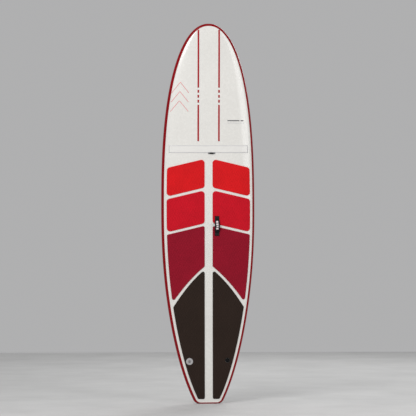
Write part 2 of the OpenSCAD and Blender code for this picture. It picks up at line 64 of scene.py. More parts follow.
# ---------------------------------------------------------------- board shape
# the same formulas as the CAD source, in millimetres
LENGTH = 3200.0
HALF_WIDTH = 395.5
WIDEST = 1620.0
MID_THICK, TAIL_THICK, NOSE_THICK = 115.0, 52.0, 48.0
NOSE_ROCKER, TAIL_ROCKER = 120.0, 42.0
TAIL_CORNER, TAIL_EDGE = 30.0, 5.0
BAND = 20.6
TAIL_BLOCK = 11.0
KEEL_MID = TAIL_ROCKER + 0.45 * TAIL_THICK
PAD_INNER, PAD_MARGIN, PAD_THICK = 34.0, 42.0, 5.0


def arr(v):
    return np.asarray(v, float)


def nose_part(z):
    return np.clip((z - WIDEST) / (LENGTH - WIDEST), 0, 1)


def tail_part(z):
    return np.clip((WIDEST - z) / WIDEST, 0, 1)


def edge_cut(z, r):
    inside = np.clip(r - z, 0, r)
    return r - np.sqrt(r * r - inside * inside)


def half_plan(z):
    z = arr(z)
    s = tail_part(z)
    nose = HALF_WIDTH * (1 - nose_part(z) ** 2.6) ** (1 / 2.13)
    tail = HALF_WIDTH * (1 - 0.64 * s**2.2 - 0.075 * s**10) - edge_cut(z, TAIL_CORNER)
    return np.where(z > WIDEST, nose, tail)


def thickness(z):
    z = arr(z)
    nose = NOSE_THICK + (MID_THICK - NOSE_THICK) * (1 - nose_part(z) ** 4)
    tail = TAIL_THICK + (MID_THICK - TAIL_THICK) * (1 - tail_part(z) ** 1.5)
    return np.where(z > WIDEST, nose, tail)


def rocker(z):
    z = arr(z)
    nose = NOSE_ROCKER * nose_part(z) ** 2.4
    return np.where(z > WIDEST, nose, TAIL_ROCKER * tail_part(z) ** 2.2)


def nose_round(z):
    u = np.clip((arr(z) - (LENGTH - 35)) / 35.0, 0, 1)
    return np.sqrt(1 - u * u)


def rail_y(z):
    return KEEL_MID - rocker(z) - 0.45 * thickness(z)


def deck_rise(z):
    return 0.55 * thickness(z) * nose_round(z) - edge_cut(arr(z), TAIL_EDGE)


def keel_drop(z):
    return 0.45 * thickness(z) * nose_round(z) - edge_cut(arr(z), TAIL_EDGE)


def dome(u, n):
    return np.sqrt(np.clip(1 - np.clip(np.abs(u), 0, 1) ** n, 0, 1))


def deck_y(x, z):
    x, z = arr(x), arr(z)
    return rail_y(z) - deck_rise(z) * dome(x / np.maximum(half_plan(z), 1e-6), 6)


def keel_y(x, z):
    x, z = arr(x), arr(z)
    return rail_y(z) + keel_drop(z) * dome(x / np.maximum(half_plan(z), 1e-6), 8)


# ---------------------------------------------------------------- mesh helpers
def build(name, points, faces, material, body="board"):
    """Makes a mesh object from millimetre points and lets it ride on a body."""
    mesh = bpy.data.meshes.new(name)
    mesh.from_pydata((arr(points) * MM).tolist(), [], faces)
    mesh.update()
    piece = bpy.data.objects.new(name, mesh)
    bpy.context.scene.collection.objects.link(piece)
    mesh.materials.append(material)
    mesh.polygons.foreach_set("use_smooth", [True] * len(mesh.polygons))
    if body:
        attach(piece, body)
    return piece


def tidy_mesh(piece, weld=1e-6, outward=True):
    """Welds doubles, drops slivers and turns every face outwards."""
    b = bmesh.new()
    b.from_mesh(piece.data)
    bmesh.ops.remove_doubles(b, verts=b.verts, dist=weld)
    bmesh.ops.dissolve_degenerate(b, edges=b.edges, dist=1e-7)
    loose = [v for v in b.verts if not v.link_faces]
    bmesh.ops.delete(b, geom=loose, context="VERTS")
    if outward:
        bmesh.ops.recalc_face_normals(b, faces=b.faces)
    b.to_mesh(piece.data)
    b.free()
    return piece


def sharpen(piece, angle=35):
    piece.data.set_sharp_from_angle(angle=math.radians(angle))
    return piece


def grid_faces(rows, cols, start=0, flip=False, close_cols=False):
    """Quads of a grid of points, row by row. close_cols joins the last column to the first."""
    faces = []
    for j in range(rows - 1):
        near, far = start + j * cols, start + (j + 1) * cols
        for i in range(cols if close_cols else cols - 1):
            h = (i + 1) % cols
            f = [near + i, far + i, far + h, near + h]
            faces.append(f[::-1] if flip else f)
    return faces


def solid_sheet(name, top, under, material, **kw):
    """Closed solid between two grids of the same size."""
    rows, cols = top.shape[:2]
    q = rows * cols
    faces = grid_faces(rows, cols) + grid_faces(rows, cols, q, flip=True)
    for j in range(rows - 1):
        a, b = j * cols, (j + 1) * cols
        faces.append([a, q + a, q + b, b])
        a, b = a + cols - 1, b + cols - 1
        faces.append([a, b, q + b, q + a])
    for i in range(cols - 1):
        faces.append([i, i + 1, q + i + 1, q + i])
        a = (rows - 1) * cols + i
        faces.append([a + 1, a, q + a, q + a + 1])
    points = np.concatenate([top.reshape(-1, 3), under.reshape(-1, 3)])
    return tidy_mesh(build(name, points, faces, material, **kw))


def tube_loft(name, rings, material, cap=True, **kw):
    """Closed solid through a stack of closed rings of equal length."""
    rings = arr(rings)
    rows, cols = rings.shape[:2]
    faces = grid_faces(rows, cols, close_cols=True)
    if cap:
        faces.append(list(range(cols)))
        faces.append(list(range((rows - 1) * cols, rows * cols))[::-1])
    return tidy_mesh(build(name, rings.reshape(-1, 3), faces, material, **kw))


def solidify(piece, mm, offset=-1):
    m = piece.modifiers.new("thickness", "SOLIDIFY")
    m.thickness = mm * MM
    m.offset = offset
    m.use_even_offset = False
    return piece


# ---------------------------------------------------------------- materials
class Shader:
    """Short hand for a procedural material in object coordinates."""

    def __init__(self, name, color, rough, **sockets):
        self.mat = bpy.data.materials.new(name)
        self.mat.use_nodes = True
        self.tree = self.mat.node_tree
        self.bsdf = self.tree.nodes["Principled BSDF"]
        self.coord = self.add("ShaderNodeTexCoord").outputs["Object"]
        self.bsdf.inputs["Base Color"].default_value = (*color, 1)
        self.bsdf.inputs["Roughness"].default_value = rough
        for key, value in sockets.items():
            self.bsdf.inputs[key.replace("_", " ")].default_value = value
        self.mat.diffuse_color = (*color, 1)
        self.normal = None

    def add(self, kind, **settings):
        node = self.tree.nodes.new(kind)
        for key, value in settings.items():
            setattr(node, key, value)
        return node

    def link(self, a, b):
        self.tree.links.new(a, b)

    def space(self, scale=(1, 1, 1), turn=(0, 0, 0)):
        node = self.add("ShaderNodeMapping")
        node.inputs["Scale"].default_value = scale
        node.inputs["Rotation"].default_value = turn
        self.link(self.coord, node.inputs["Vector"])
        return node.outputs["Vector"]

    def noise(self, scale, detail=3, rough=0.5, stretch=(1, 1, 1)):
        node = self.add("ShaderNodeTexNoise")
        node.inputs["Scale"].default_value = scale
        node.inputs["Detail"].default_value = detail
        node.inputs["Roughness"].default_value = rough
        self.link(self.space(stretch), node.inputs["Vector"])
        return node.outputs["Fac"]

    def cells(self, scale, stretch=(1, 1, 1)):
        node = self.add("ShaderNodeTexVoronoi")
        node.inputs["Scale"].default_value = scale
        self.link(self.space(stretch), node.inputs["Vector"])
        return node.outputs["Distance"]

    def bands(self, scale, axis, turn=(0, 0, 0), profile="SIN", distortion=0):
        node = self.add("ShaderNodeTexWave", wave_profile=profile, bands_direction=axis)
        node.inputs["Scale"].default_value = scale
        node.inputs["Distortion"].default_value = distortion
        self.link(self.space(turn=turn), node.inputs["Vector"])
        return node.outputs["Fac"]

    def math(self, op, a, b=0.5):
        node = self.add("ShaderNodeMath", operation=op)
        for socket, value in zip(node.inputs, (a, b)):
            if isinstance(value, (int, float)):
                socket.default_value = value
            else:
                self.link(value, socket)
        return node.outputs[0]

    def ramp(self, fac, low, high, a=0.3, b=0.7):
        node = self.add("ShaderNodeValToRGB")
        node.color_ramp.elements[0].position = a
        node.color_ramp.elements[0].color = (*low, 1)
        node.color_ramp.elements[1].position = b
        node.color_ramp.elements[1].color = (*high, 1)
        self.link(fac, node.inputs["Fac"])
        return node.outputs["Color"]

    def span(self, fac, low, high, a=0.0, b=1.0):
        node = self.add("ShaderNodeMapRange")
        for key, value in zip(("From Min", "From Max", "To Min", "To Max"), (a, b, low, high)):
            node.inputs[key].default_value = value
        self.link(fac, node.inputs["Value"])
        return node.outputs["Result"]

    def color(self, output):
        self.link(output, self.bsdf.inputs["Base Color"])
        return self

    def rough(self, output):
        self.link(output, self.bsdf.inputs["Roughness"])
        return self

    def bump(self, height, strength, distance_mm):
        node = self.add("ShaderNodeBump")
        node.inputs["Strength"].default_value = strength
        node.inputs["Distance"].default_value = distance_mm * MM
        self.link(height, node.inputs["Height"])
        if self.normal:
            self.link(self.normal, node.inputs["Normal"])
        self.normal = node.outputs["Normal"]
        self.link(self.normal, self.bsdf.inputs["Normal"])
        return self


def tint(color, factor):
    return tuple(min(1, c * factor) for c in color)


def linear(*rgb):
    """Linear colour from three 0 to 255 display values."""
    scaled = [v / 255 for v in rgb]
    return tuple(v / 12.92 if v < 0.043 else ((v + 0.055) / 1.055) ** 2.4 for v in scaled)


def gelcoat(name, color, spread=0.03, rough=0.24, coat=0.55, gloss=0.5):
    shine = {"Coat_Weight": coat, "Coat_Roughness": 0.12, "Specular_IOR_Level": gloss}
    s = Shader(name, color, rough, **shine)
    broad = s.noise(2.2, 4, 0.55)
    s.color(s.ramp(broad, tint(color, 1 - spread), tint(color, 1 + spread), 0.35, 0.65))
    s.rough(s.span(s.noise(34, 3), rough - 0.05, rough + 0.09, 0.3, 0.7))
    s.bump(s.noise(14, 2), 0.12, 0.5)
    s.bump(s.noise(900, 2), 0.08, 0.05)
    return s.mat


def eva(name, color):
    s = Shader(name, color, 0.86, Specular_IOR_Level=0.06)
    fleck = s.noise(420, 2, 0.6)
    patch = s.noise(7, 4, 0.6)
    mixed = s.math("ADD", s.math("MULTIPLY", fleck, 0.6), s.math("MULTIPLY", patch, 0.4))
    s.color(s.ramp(mixed, tint(color, 0.84), tint(color, 1.13), 0.34, 0.66))
    s.rough(s.span(patch, 0.8, 0.93, 0.3, 0.7))
    s.bump(s.cells(650), 0.35, 0.12)
    s.bump(fleck, 0.25, 0.12)
    return s.mat


def webbing(name, color, pitch_mm=2.0):
    s = Shader(name, color, 0.78, Specular_IOR_Level=0.12, Sheen_Weight=0.02, Sheen_Roughness=0.5)
    rate = 0.314 / (pitch_mm * MM) / 2
    quarter = math.radians(45)
    warp = s.bands(rate, "X", (0, quarter, 0))
    weft = s.bands(rate, "X", (0, -quarter, 0))
    rib = s.bands(rate * 0.8, "X")
    weave = s.math("ADD", s.math("MULTIPLY", warp, weft), s.math("MULTIPLY", rib, 0.4))
    s.color(s.ramp(weave, tint(color, 0.55), tint(color, 1.6), 0.1, 1.1))
    s.rough(s.span(s.noise(60, 3), 0.7, 0.88, 0.3, 0.7))
    s.bump(weave, 0.7, 0.35)
    s.bump(s.noise(1400, 2), 0.3, 0.1)
    return s.mat


def plastic(name, color, rough=0.42, grain=900, depth=0.06, gloss=0.5):
    s = Shader(name, color, rough, Specular_IOR_Level=gloss)
    s.color(s.ramp(s.noise(26, 4), tint(color, 0.88), tint(color, 1.12), 0.3, 0.7))
    s.rough(s.span(s.noise(70, 3), rough - 0.07, rough + 0.12, 0.3, 0.7))
    s.bump(s.cells(grain), 0.3, depth)
    s.bump(s.noise(grain * 0.5, 2), 0.2, depth)
    return s.mat


def metal(name, color, rough=0.28):
    s = Shader(name, color, rough, Metallic=1.0)
    brushed = s.noise(220, 4, 0.6, (1, 1, 14))
    s.color(s.ramp(brushed, tint(color, 0.86), tint(color, 1.08), 0.3, 0.7))
    s.rough(s.span(brushed, rough - 0.06, rough + 0.14, 0.3, 0.7))
    s.bump(brushed, 0.15, 0.04)
    return s.mat


def ink(name, color, rough=0.35):
    s = Shader(name, color, rough, Coat_Weight=0.1, Specular_IOR_Level=0.15)
    s.color(s.ramp(s.noise(30, 3), tint(color, 0.94), tint(color, 1.05), 0.3, 0.7))
    s.rough(s.span(s.noise(120, 2), rough - 0.05, rough + 0.08, 0.3, 0.7))
    return s.mat


def grain_wood(name, color):
    s = Shader(name, color, 0.55)
    ring = s.noise(60, 5, 0.6, (1, 1, 0.06))
    s.color(s.ramp(ring, tint(color, 0.7), tint(color, 1.15), 0.35, 0.65))
    s.bump(ring, 0.3, 0.2)
    return s.mat


def bead_foam(name, color):
    s = Shader(name, color, 0.9)
    bead = s.cells(240)
    s.color(s.ramp(bead, tint(color, 1.03), tint(color, 0.82), 0.3, 0.9))
    s.bump(bead, 0.5, 0.6)
    return s.mat


WHITE = gelcoat("white_gelcoat", linear(226, 224, 219))
WHITE_STRIP = gelcoat("white_patch_coat", linear(227, 225, 221), 0.015, 0.34, 0.3)
CRIMSON = gelcoat("crimson_gelcoat", linear(138, 0, 12), 0.06, 0.3, 0.06, 0.12)
STRIPE = ink("stripe_ink", linear(168, 4, 22))
PALE_LINE = ink("pale_red_ink", linear(226, 150, 150))
# grey ink for a printed bar, also used as painted shade along the deck strip's edge
GREY_INK_AND_SHADE = ink("grey_ink_and_painted_shade", linear(178, 178, 184))
DARK_LINE = ink("dark_grey_ink", linear(84, 84, 88))
PADS = [
    eva("eva_red", linear(213, 30, 34)),
    eva("eva_rose", linear(197, 25, 40)),
    eva("eva_wine", linear(143, 24, 42)),
    eva("eva_brown", linear(48, 38, 33)),
]
WEB = webbing("black_webbing", (0.007, 0.007, 0.008))
SLEEVE = webbing("sleeve_webbing", (0.009, 0.009, 0.01), 1.3)
THREAD = webbing("stitch_thread", (0.06, 0.06, 0.065), 0.8)
LABEL = plastic("plain_label", linear(74, 72, 74), 0.6, 1500, 0.04)
LABEL_MARK = plastic("label_mark", linear(226, 214, 214), 0.6, 1500, 0.04)
BLACK = plastic("black_plastic", (0.008, 0.008, 0.009), 0.42, gloss=0.25)
FIN = plastic("fin_composite", (0.02, 0.02, 0.022), 0.3, 500, 0.05)
GREY = plastic("grey_plastic", linear(172, 170, 170), 0.45)
GREY_DARK = plastic("grey_plastic_dark", linear(128, 126, 127), 0.45)
STEEL = metal("stainless_steel", (0.62, 0.62, 0.63))
BLACK_STEEL = metal("black_steel", (0.035, 0.035, 0.037), 0.42)
RUBBER = plastic("black_rubber", (0.01, 0.01, 0.01), 0.7, 700, 0.05)
WOOD = grain_wood("stringer_wood", (0.52, 0.34, 0.16))
DENSE = bead_foam("dense_foam", (0.70, 0.60, 0.40))
FOAM = bead_foam("white_foam", (0.86, 0.86, 0.82))

CAD_LOOKS = {
    FOAM: ("foam_core_left", "foam_core_right"),
    WOOD: ("stringer",),
    DENSE: ("fin_block", "handle_inserts"),
    GREY: ("vent_body",),
    GREY_DARK: ("vent_screw", "loop_inserts"),
    BLACK: ("handle_plates", "leash_cup", "fin_box", "side_box_left", "side_box_right"),
    BLACK_STEEL: ("handle_screws", "leash_bar"),
    STEEL: (
        "loop_screws", "fin_cross_pin", "fin_plate", "fin_screw",
        "grub_screws_left", "grub_screws_right",
    ),
    RUBBER: ("vent_o_ring",),
    WHITE_STRIP: ("vent_membrane",),
}
for look, names in CAD_LOOKS.items():
    for node in names:
        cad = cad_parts[node]
        cad.data.materials.clear()
        cad.data.materials.append(look)

# ---------------------------------------------------------------- hull
# plan outline of the right side, from the tail block to the nose tip
tail_z = np.linspace(TAIL_BLOCK, TAIL_CORNER, 7)[:-1]
body_z = TAIL_CORNER + (WIDEST - TAIL_CORNER) * (np.linspace(0, 1, 64)[:-1] ** 1.15)
nose_z = WIDEST + (LENGTH - WIDEST) * np.sin(np.linspace(0, math.pi / 2, 110))
out_z = np.concatenate([tail_z, body_z, nose_z])
out_x = half_plan(out_z)
out_x[-1] = 0
step = np.stack([np.gradient(out_x), np.gradient(out_z)], -1)
step[-1] = (-1, 0)
step /= np.linalg.norm(step, axis=1)[:, None]
inward = np.stack([-step[:, 1], step[:, 0]], -1)
turn = np.clip((out_z - 2300) / 600, 0, 1)
turn = (turn * turn * (3 - 2 * turn))[:, None]
aim = (1 - turn) * arr([[-1.0, 0.0]]) + turn * inward
aim /= np.linalg.norm(aim, axis=1)[:, None]
reach = np.sum(aim * inward, axis=1)[:, None]


def offset_line(d):
    """Outline drawn in by d millimetres, as x and z."""
    p = np.stack([out_x, out_z], -1) + aim * d / reach
    p[-1, 0] = 0
    return np.maximum(p[:, 0], 0), p[:, 1]


def cross_rows(depths, surface):
    rows = []
    for d in depths:
        x, z = offset_line(d)
        y = rail_y(z) if d == 0 else surface(x, z)
        rows.append(np.stack([x, y, z], -1))
    return np.stack(rows, 1)


def mirrored(grid):
    flipped = grid[:-1][::-1].copy()
    flipped[..., 0] *= -1
    return np.concatenate([grid, flipped])


steps = (np.linspace(0, 1, 13) ** 2) * BAND
front = cross_rows(steps[::-1], deck_y)
back = cross_rows(steps[1:], keel_y)
band_grid = mirrored(np.concatenate([front, back], 1))
rows, cols = band_grid.shape[:2]
rail_band = build("rail_band", band_grid.reshape(-1, 3), grid_faces(rows, cols, flip=True), CRIMSON)
tidy_mesh(rail_band, 1e-5, outward=False)
solidify(rail_band, 2.2)
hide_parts("rail_left", "rail_right", "nose_block")


def panel(name, surface, material, flip):
    """White sheet inside the rail band, on the deck or the bottom."""
    x_in, z_in = offset_line(BAND)
    across = np.sin(np.linspace(-math.pi / 2, math.pi / 2, 61))
    x = x_in[:, None] * across[None, :]
    z = np.repeat(z_in[:, None], len(across), 1)
    grid = np.stack([x, surface(x, z), z], -1)
    piece = build(name, grid.reshape(-1, 3), grid_faces(*grid.shape[:2], flip=flip), material)
    tidy_mesh(piece, 1e-5, outward=False)
    return solidify(piece, 2.2)


deck_shell = panel("deck_shell", deck_y, WHITE, True)
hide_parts("deck_skin")
bottom_shell = panel("bottom_shell", keel_y, WHITE, False)
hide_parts("bottom_skin")

# flat tail end, as a loft of full sections
angles = np.linspace(0, 2 * math.pi, 161)[:-1]


def section(z):
    c, s = np.cos(angles), np.sin(angles)
    w = float(half_plan(z))
    x = np.where(s < 0, np.sign(c) * np.abs(c) ** (1 / 3), np.sign(c) * np.abs(c) ** 0.25) * w
    y = np.where(s < 0, deck_y(x, z), keel_y(x, z))
    return np.stack([x, y, np.full_like(x, z)], -1)


tail_levels = TAIL_EDGE * (1 - np.cos(np.linspace(0, math.pi / 2, 7)))
tail_levels = np.concatenate([tail_levels, [7.0, 9.0, TAIL_BLOCK]])
tail_end = tube_loft("tail_end", [section(z) for z in tail_levels], CRIMSON)
sharpen(tail_end, 50)
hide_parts("tail_block")

# ---------------------------------------------------------------- deck graphics
def on_deck_slab(name, xs, zs, lift, thick, material, slot, **kw):
    """Thin closed slab that follows the deck. xs and zs are grids in millimetres."""
    y = deck_y(xs, zs)
    top = np.stack([xs, y - lift - thick, zs], -1)
    under = np.stack([xs, y - lift, zs], -1)
    piece = solid_sheet(name, top, under, material, **kw)
    return piece


def ribbon(name, path, width, material, slot, lift=0.12, thick=0.2, every=9.0):
    """Painted line along a path of (x, z) points, laid on the deck."""
    path = arr(path)
    seg = np.linalg.norm(np.diff(path, axis=0), axis=1)
    s = np.concatenate([[0], np.cumsum(seg)])
    t = np.linspace(0, s[-1], max(2, int(s[-1] / every) + 1))
    t = np.unique(np.round(np.concatenate([t, s[1:-1]]), 4))
    p = np.stack([np.interp(t, s, path[:, 0]), np.interp(t, s, path[:, 1])], -1)
    d = np.gradient(p, axis=0)
    d /= np.linalg.norm(d, axis=1)[:, None]
    n = np.stack([d[:, 1], -d[:, 0]], -1)
    offs = np.linspace(-0.5, 0.5, 3) * width
    grid = p[:, None, :] + n[:, None, :] * offs[None, :, None]
    return on_deck_slab(name, grid[..., 0], grid[..., 1], lift, thick, material, slot)


STRIPE_X, STRIPE_W = 87.5, 14.0
DASHES = ((2619.0, 2643.0), (2577.5, 2601.5), (2536.0, 2560.0))
for side, tag in ((-1, "left"), (1, "right")):
    x = side * STRIPE_X
    ribbon("stripe_low_" + tag, [(x, 2212), (x, 2518)], STRIPE_W, STRIPE, "crimson_laminate")
    for n, (z0, z1) in enumerate(DASHES):
        name = "stripe_dash_%s_%d" % (tag, n + 1)
        ribbon(name, [(x, z0), (x, z1)], STRIPE_W, STRIPE, "crimson_laminate")
    ribbon("stripe_high_" + tag, [(x, 2662), (x, 3147)], STRIPE_W, STRIPE, "crimson_laminate")

# plain nested chevrons where the photo has a large outlined mark
for n in range(3):
    dz = 78.0 * n
    path = [(-322 + 6 * n, 2462 + dz), (-247 + 4 * n, 2552 + dz), (-172 + 2 * n, 2462 + dz)]
    ribbon("chevron_line_%d" % (n + 1), path, 5.0, PALE_LINE, "white_laminate")
# plain bars where the photo has a small printed line
for n, (x0, x1, z, w) in enumerate(
    ((160, 262, 2385, 8), (272, 296, 2385, 8), (160, 300, 2365, 2.2))
):
    look = DARK_LINE if n < 2 else GREY_INK_AND_SHADE
    ribbon("deck_bar_%d" % (n + 1), [(x0, z), (x1, z)], w, look, "white_laminate")

# raised strip across the deck, with thin grey lines painted around it as shade of its low step
low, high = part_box("deck_patch")
px, pz0, pz1 = high.x / MM, low.z / MM, high.z / MM
xs = np.linspace(-px, px, 121)
zs = np.linspace(pz0, pz1, 17)
gx, gz = np.meshgrid(xs, zs)
rim = np.minimum(np.minimum(gx + px, px - gx), np.minimum(gz - pz0, pz1 - gz))
rise = 0.15 + 0.65 * np.clip(rim / 1.0, 0, 1)
y = deck_y(gx, gz)
patch = solid_sheet(
    "deck_patch_strip",
    np.stack([gx, y - 0.1 - rise, gz], -1),
    np.stack([gx, y - 0.1, gz], -1),
    WHITE_STRIP,
)
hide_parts("deck_patch")
inset = 5.0
corners = [
    (-px + inset, pz0 + inset), (px - inset, pz0 + inset),
    (px - inset, pz1 - inset), (-px + inset, pz1 - inset),
]
# grey lines painted just inside the strip's edge stand in for the shade of its low step
for n in range(4):
    a, b = corners[n], corners[(n + 1) % 4]
    ribbon("patch_shade_line_%d" % (n + 1), [a, b], 2.6, GREY_INK_AND_SHADE, "white_laminate", lift=0.92)

# ---------------------------------------------------------------- deck pads
SEAM, FALL, THIRD_BEND, TAIL_BEND = 0.236, 0.8, 0.00117, 0.00147


def seam_end(z0):
    z = z0 - 70
    for _ in range(4):
        z = z0 - SEAM * (float(half_plan(z)) - PAD_MARGIN - PAD_INNER)
    return z


def outer_edge(z0, z1, n=10):
    z = np.linspace(z0, z1, n + 1)
    return np.stack([half_plan(z) - PAD_MARGIN, z], -1)


def low_seam(z0, bend, n=8):
    """Curved seam from the inner edge down to the outer edge."""
    t = 260.0
    for _ in range(12):
        t = float(half_plan(z0 - FALL * t - bend * t * t)) - PAD_MARGIN - PAD_INNER
    u = np.linspace(0, t, n + 1)
    return np.stack([PAD_INNER + u, z0 - FALL * u - bend * u * u], -1)


def upper_pad(low_z, high_z):
    outer = outer_edge(seam_end(low_z), seam_end(high_z))
    return [arr([(PAD_INNER, low_z), outer[0]]), outer, arr([outer[-1], (PAD_INNER, high_z)])]


def closed(chains):
    """Adds the straight inner edge that joins the last chain to the first."""
    return chains + [arr([chains[-1][-1], chains[0][0]])]


# heights of the seams at the inner edge, and the corner radii
PAD_1_LOW, PAD_1_TOP, PAD_2_LOW, PAD_2_TOP = 1822.0, 2063.0, 1521.5, 1799.0
PAD_3_LOW, PAD_3_TOP, PAD_4_LOW, PAD_4_TOP = 1157.5, 1500.5, 40.0, 1130.0
UPPER_CORNER, LOWER_CORNER = 28.0, 14.0
third = low_seam(PAD_3_LOW, THIRD_BEND)
third_outer = outer_edge(third[-1][1], seam_end(PAD_3_TOP))
third_seam = arr([third_outer[-1], (PAD_INNER, PAD_3_TOP)])
tail = low_seam(PAD_4_TOP, TAIL_BEND)
tail_outer = outer_edge(PAD_4_LOW, tail[-1][1])
tail_foot = arr([(PAD_INNER, PAD_4_LOW), tail_outer[0]])
SHAPES = [
    (closed(upper_pad(PAD_1_LOW, PAD_1_TOP)), UPPER_CORNER),
    (closed(upper_pad(PAD_2_LOW, PAD_2_TOP)), UPPER_CORNER),
    (closed([third, third_outer, third_seam]), LOWER_CORNER),
    (closed([tail_foot, tail_outer, tail[::-1]]), LOWER_CORNER),
]


def resample(p, pitch):
    s = np.concatenate([[0], np.cumsum(np.linalg.norm(np.diff(p, axis=0), axis=1))])
    t = np.linspace(0, s[-1], max(2, int(math.ceil(s[-1] / pitch)) + 1))
    return np.stack([np.interp(t, s, p[:, 0]), np.interp(t, s, p[:, 1])], -1)


def outward_normals(p):
    d = np.gradient(p, axis=0)
    d /= np.linalg.norm(d, axis=1)[:, None]
    return np.stack([d[:, 1], -d[:, 0]], -1)


def first_crossing(p, q):
    """Where the end of polyline p meets the start of q: point, and the places on both."""
    for i in range(len(p) - 2, -1, -1):
        a, r = p[i], p[i + 1] - p[i]
        for j in range(len(q) - 1):
            b, w = q[j], q[j + 1] - q[j]
            cross = r[0] * w[1] - r[1] * w[0]
            if abs(cross) < 1e-12:
                continue
            t = ((b[0] - a[0]) * w[1] - (b[1] - a[1]) * w[0]) / cross
            u = ((b[0] - a[0]) * r[1] - (b[1] - a[1]) * r[0]) / cross
            if 0 <= t <= 1 and 0 <= u <= 1:
                return a + t * r, i + t, j + u
    raise ValueError("the pad corner radius is too large")


class Outline:
    """Closed outline of chains, run anticlockwise, with every corner rounded to one radius."""

    def __init__(self, chains, radius, pitch=6.0):
        self.radius = radius
        drawn = []
        for chain in chains:
            p = resample(arr(chain), pitch)
            n = outward_normals(p)
            q = p - n * radius
            run = 90.0
            a = q[0] - (q[1] - q[0]) / np.linalg.norm(q[1] - q[0]) * run
            b = q[-1] + (q[-1] - q[-2]) / np.linalg.norm(q[-1] - q[-2]) * run
            drawn.append((np.vstack([a, q, b]), np.vstack([n[0], n, n[-1]])))
        count = len(drawn)
        corners = [first_crossing(drawn[i][0], drawn[(i + 1) % count][0]) for i in range(count)]
        self.parts = []
        for i, (q, n) in enumerate(drawn):
            start, _, s0 = corners[i - 1]
            end, s1, _ = corners[i]
            k = np.arange(int(math.floor(s0)) + 1, int(math.ceil(s1)))
            n0, n1 = n[int(round(s0))], n[int(round(s1))]
            self.parts.append((np.vstack([start, q[k], end]), np.vstack([n0, n[k], n1])))
        self.inner = np.vstack([q[:-1] for q, _ in self.parts])

    def ring(self, level):
        """Points of the outline moved out by level; every ring has the same count."""
        reach = self.radius + level
        out = []
        for i, (q, n) in enumerate(self.parts):
            out.append(q + n * reach)
            a, b = n[-1], self.parts[(i + 1) % len(self.parts)][1][0]
            start = math.atan2(a[1], a[0])
            sweep = (math.atan2(b[1], b[0]) - start) % (2 * math.pi)
            steps = max(2, int(math.ceil(sweep * self.radius / 2.5)))
            t = start + sweep * np.arange(1, steps) / steps
            out.append(q[-1] + np.stack([np.cos(t), np.sin(t)], -1) * reach)
        return np.vstack(out)

    def depth(self, pts):
        """Signed distance to the rounded outline, below zero inside."""
        poly = self.inner
        best = np.full(len(pts), 1e9)
        inside = np.zeros(len(pts), bool)
        for a, b in zip(poly, np.roll(poly, -1, axis=0)):
            e, w = b - a, pts - a
            t = np.clip((w @ e) / (e @ e), 0, 1)
            best = np.minimum(best, np.linalg.norm(w - t[:, None] * e, axis=1))
            spans = (a[1] > pts[:, 1]) != (b[1] > pts[:, 1])
            if spans.any():
                x = a[0] + (pts[:, 1] - a[1]) * e[0] / (e[1] if e[1] else 1e-12)
                inside ^= spans & (pts[:, 0] < x)
        return np.where(inside, -best, best) - self.radius


def circle(cx, cz, r, n=72):
    t = np.linspace(0, 2 * math.pi, n + 1)[:-1]
    return np.stack([cx + r * np.cos(t), cz + r * np.sin(t)], -1)


INSIDE_WITH_HOLES = 2


def triangulate(pts, loops, wanted):
    """Triangles between the loops, kept where wanted(centres) is true."""
    edges = [(a, b) for loop in loops for a, b in loop]
    flat = [Vector(p) for p in pts.tolist()]
    found = delaunay_2d_cdt(flat, edges, [], INSIDE_WITH_HOLES, 1e-9)
    origin = [o[0] if o else -1 for o in found[3]]
    tris = [[origin[v] for v in f] for f in found[2]]
    tris = [t for t in tris if min(t) >= 0 and len(set(t)) == 3]
    keep = wanted(pts[np.array(tris)].mean(1))
    return [t for t, k in zip(tris, keep) if k]


def loop_edges(start, count):
    return [(start + i, start + (i + 1) % count) for i in range(count)]


# diamond grooves: their pitch, the mesh lines in one pitch, and the two directions
PITCH = 22.0
LINES = np.array([0.0, 1.25, 6.5, 11.0, 15.5, 20.75])
E1, E2 = arr([0.5, math.sqrt(0.75)]), arr([-0.5, math.sqrt(0.75)])
# rounded edge of a pad: distance from its outline and drop below its top
EDGE_STEPS = ((-2.2, 0.0), (-1.2, 0.25), (-0.45, 0.8), (0.0, 1.7))
GROOVE, CROWN, BASE = 0.95, 0.35, 0.1


